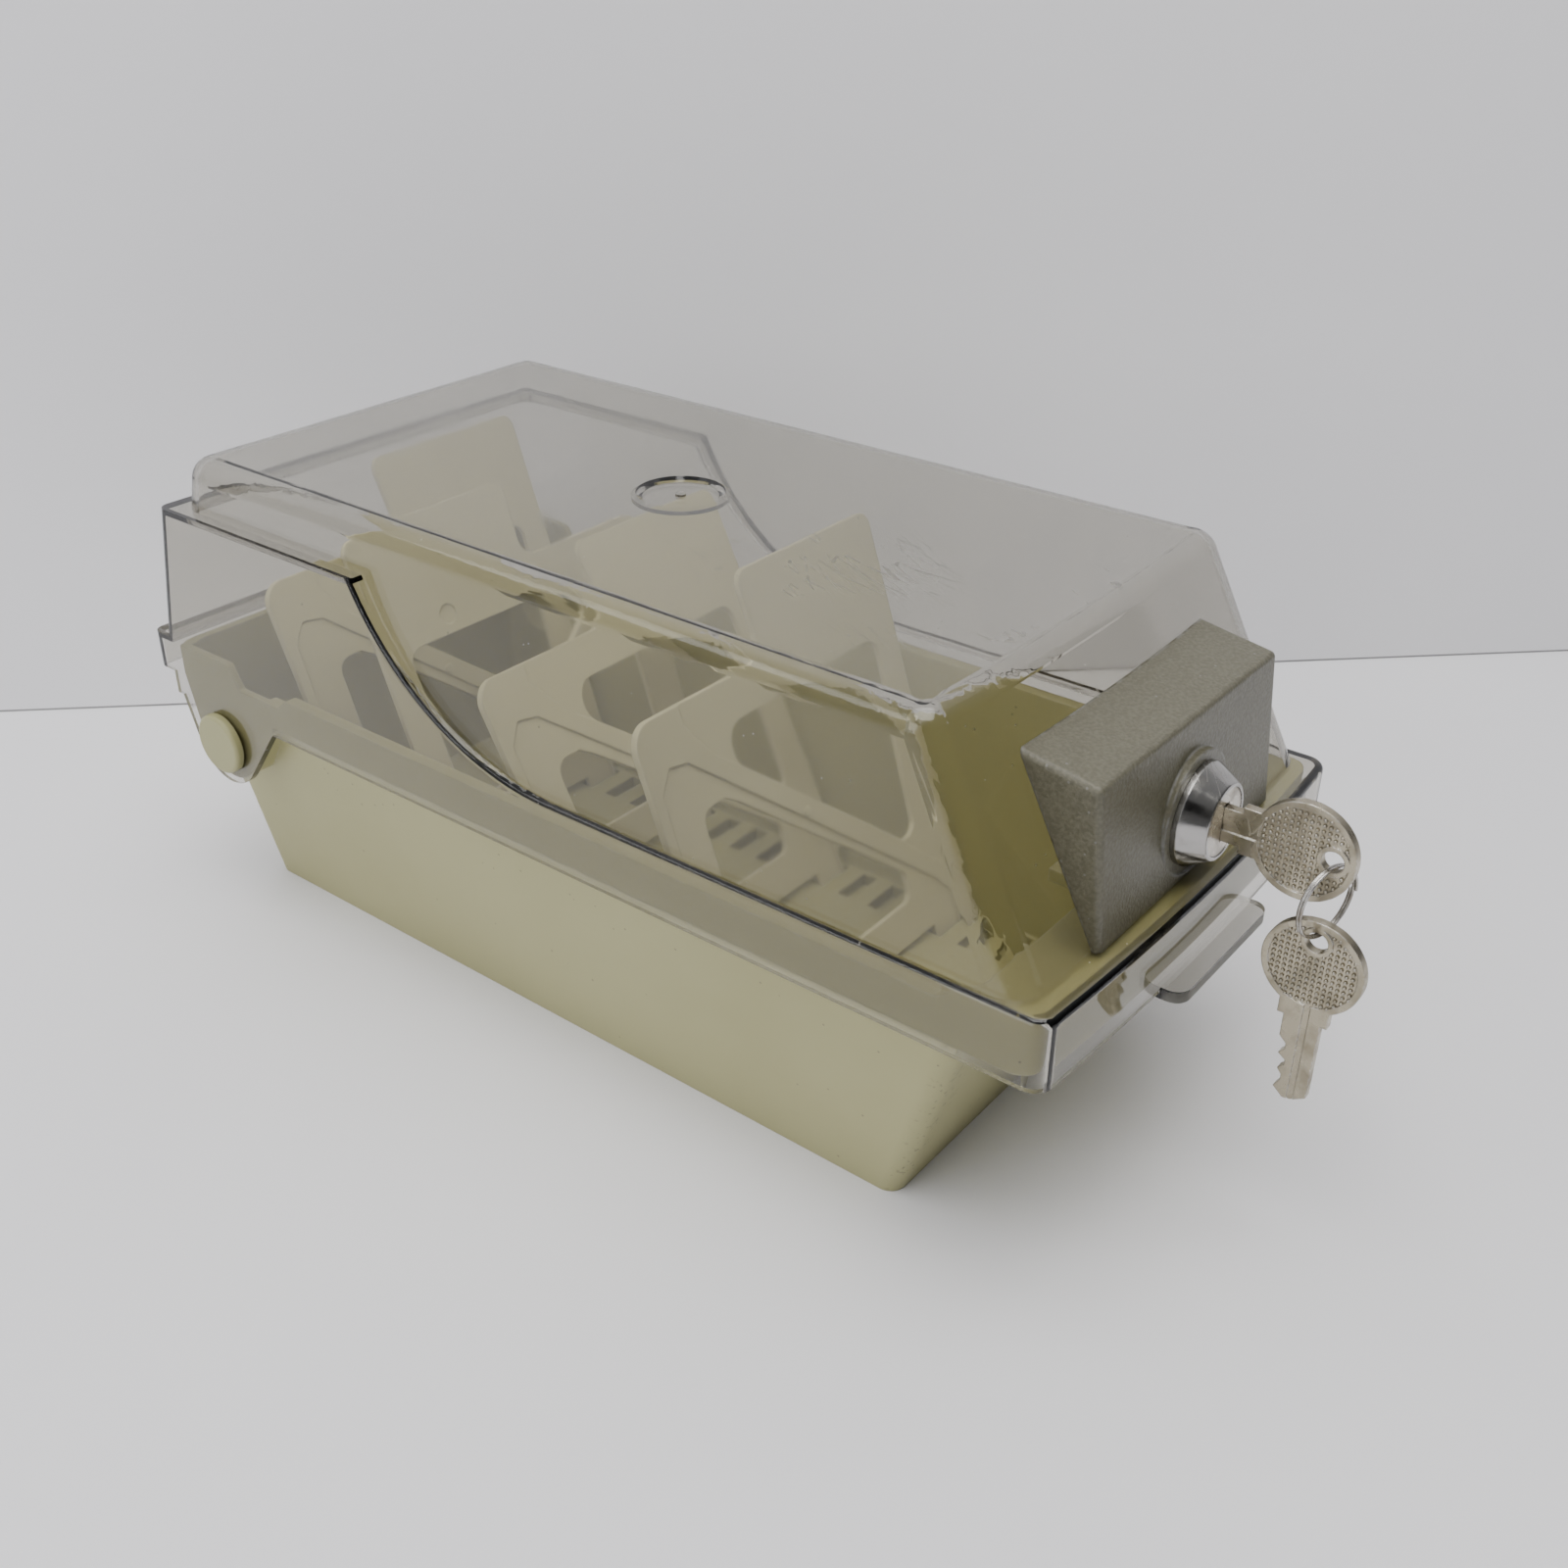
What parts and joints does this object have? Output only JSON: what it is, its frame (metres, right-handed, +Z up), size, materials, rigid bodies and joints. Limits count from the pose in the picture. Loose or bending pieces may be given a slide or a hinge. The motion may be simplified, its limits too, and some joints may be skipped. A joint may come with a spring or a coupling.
{
  "type": "lidded card and disk file",
  "caption": "Desk-top file box with a tapered tray, tilting divider plates, a hinged see-through lid and a cam lock with keys",
  "frame": {"origin": "centre of the tray's underside, on the surface it stands on", "axes": "+Z up; -Y is the front with the lock; +Y runs along the length to the hinge; X across, hinge pins on both sides"},
  "size_m": [0.1322, 0.3067, 0.1267],
  "materials": {
    "putty": "fine-textured putty-coloured moulded plastic",
    "smoke": "clear smoke-tinted styrene, lightly scratched",
    "smoke_trim": "smoke-tinted translucent plastic with an etched texture",
    "pin": "satin putty plastic",
    "divider": "satin putty plastic",
    "chrome": "polished chrome plate",
    "steel": "zinc-plated steel",
    "brass": "machined brass, nickel washed",
    "nickel": "worn nickel plate",
    "ring": "nickel-plated spring wire"
  },
  "bodies": {
    "base": {"tray": "putty", "hinge_pin_left": "pin", "hinge_pin_right": "pin"},
    "lid": {"lid": "smoke", "lock_housing": "smoke_trim", "lock_body": "chrome", "lock_nut": "steel", "lock_washer": "steel"},
    "divider_1_body": {"divider_1": "divider"},
    "divider_2_body": {"divider_2": "divider"},
    "divider_3_body": {"divider_3": "divider"},
    "divider_4_body": {"divider_4": "divider"},
    "plug": {"lock_plug": "brass", "wafers": "brass", "cam": "steel", "cam_washer": "steel", "cam_screw": "steel"},
    "key": {"key_in_lock": "nickel"},
    "ring": {"split_ring": "ring"},
    "spare": {"spare_key": "nickel"}
  },
  "joints": [
    {"name": "lid_hinge", "type": "hinge", "parent": "base", "child": "lid", "pos_m": [0, 0.0977, 0.0512], "axis": [-1, 0, 0], "range_deg": [0, 85]},
    {"name": "divider_1_tilt", "type": "hinge", "parent": "base", "child": "divider_1_body", "pos_m": [0, -0.06485, 0.0085], "axis": [1, 0, 0], "range_deg": [0, 38]},
    {"name": "divider_2_tilt", "type": "hinge", "parent": "base", "child": "divider_2_body", "pos_m": [0, -0.02617, 0.0085], "axis": [1, 0, 0], "range_deg": [0, 22]},
    {"name": "divider_3_tilt", "type": "hinge", "parent": "base", "child": "divider_3_body", "pos_m": [0, 0.02218, 0.0085], "axis": [1, 0, 0], "range_deg": [0, 15]},
    {"name": "divider_4_tilt", "type": "hinge", "parent": "base", "child": "divider_4_body", "pos_m": [0, 0.06086, 0.0085], "axis": [1, 0, 0], "range_deg": [0, 20]},
    {"name": "plug_turn", "type": "hinge", "parent": "lid", "child": "plug", "pos_m": [0, -0.1444, 0.0903], "axis": [0, 1, 0], "range_deg": [0, 90]},
    {"name": "key_slide", "type": "slide", "parent": "plug", "child": "key", "axis": [0, -1, 0], "range_m": [0, 0.024]},
    {"name": "ring_swing", "type": "hinge", "parent": "key", "child": "ring", "pos_m": [0, -0.1735, 0.0889], "axis": [0.9563, -0.2924, 0], "range_deg": [-60, 10]},
    {"name": "spare_key_swing", "type": "hinge", "parent": "ring", "child": "spare", "pos_m": [0, -0.1735, 0.0729], "axis": [0.9563, -0.2924, 0], "range_deg": [-60, 10]}
  ]
}
